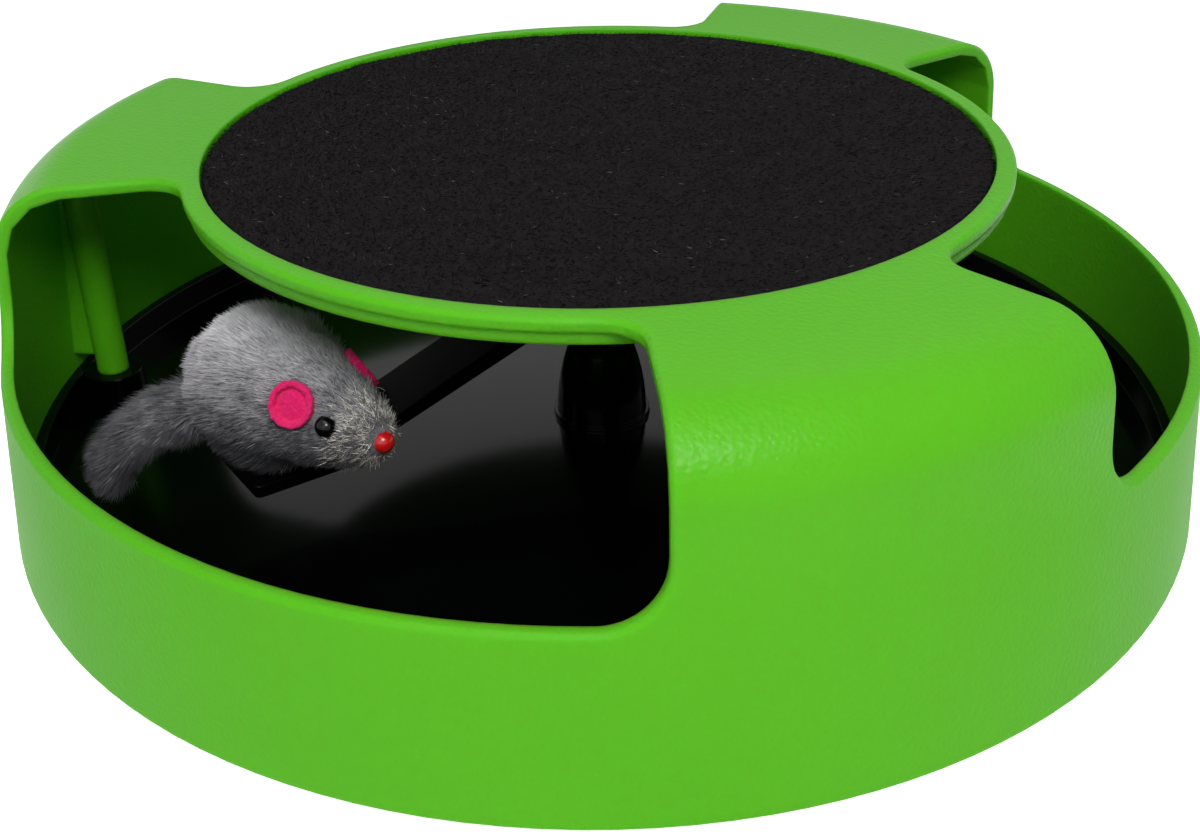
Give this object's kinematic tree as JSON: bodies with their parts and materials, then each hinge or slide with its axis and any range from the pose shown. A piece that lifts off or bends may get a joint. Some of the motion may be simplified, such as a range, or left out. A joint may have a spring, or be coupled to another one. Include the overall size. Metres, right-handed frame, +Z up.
{
  "type": "cat scratcher toy",
  "caption": "Low round cat toy: a carpeted scratch disc over a raceway with paw windows, where a plush mouse spins on a balanced arm.",
  "frame": {"origin": "centre of the round footprint, on the surface that the rubber feet stand on", "axes": "+Z up along the spindle; the cover's arms are centred at 90, 210 and 330 degrees from +X, the paw windows at 30, 150 and 270"},
  "size_m": [0.25, 0.25, 0.0665],
  "materials": {
    "green_plastic": "satin moulded plastic with a fine leather grain",
    "black_gloss_plastic": "polished black moulding",
    "black_satin_plastic": "satin black moulding",
    "foot_rubber": "soft black rubber",
    "zinc_steel": "zinc-plated steel",
    "adhesive_sheet": "double-sided adhesive film",
    "carpet": "needle-punched felt carpet",
    "acetal": "white bearing plastic",
    "grey_fur": "short dense plush",
    "pink_felt": "bright pink felt",
    "black_bead": "glossy bead",
    "red_bead": "glossy bead"
  },
  "bodies": {
    "housing": {"base_tray": "black_gloss_plastic", "rubber_feet": "foot_rubber", "cover_screws": "zinc_steel", "cover_shell": "green_plastic", "pad_adhesive": "adhesive_sheet", "scratch_pad": "carpet", "axle_pin": "zinc_steel", "thrust_washer": "acetal", "retaining_clip": "zinc_steel"},
    "rotor": {"rotor_arm": "black_satin_plastic", "hub_bush": "acetal", "hub_cap": "black_satin_plastic", "counterweight": "zinc_steel", "counterweight_lid": "black_satin_plastic", "mouse_screw": "zinc_steel", "mouse_plug": "acetal", "mouse_body": "grey_fur", "mouse_head": "grey_fur", "tail": "grey_fur", "left_ear": "pink_felt", "right_ear": "pink_felt", "left_eye": "black_bead", "right_eye": "black_bead", "nose": "red_bead"}
  },
  "joints": [
    {"name": "rotor_spin", "type": "hinge", "parent": "housing", "child": "rotor", "pos_m": [0, 0, 0.041], "axis": [0, 0, 1], "continuous": true}
  ]
}
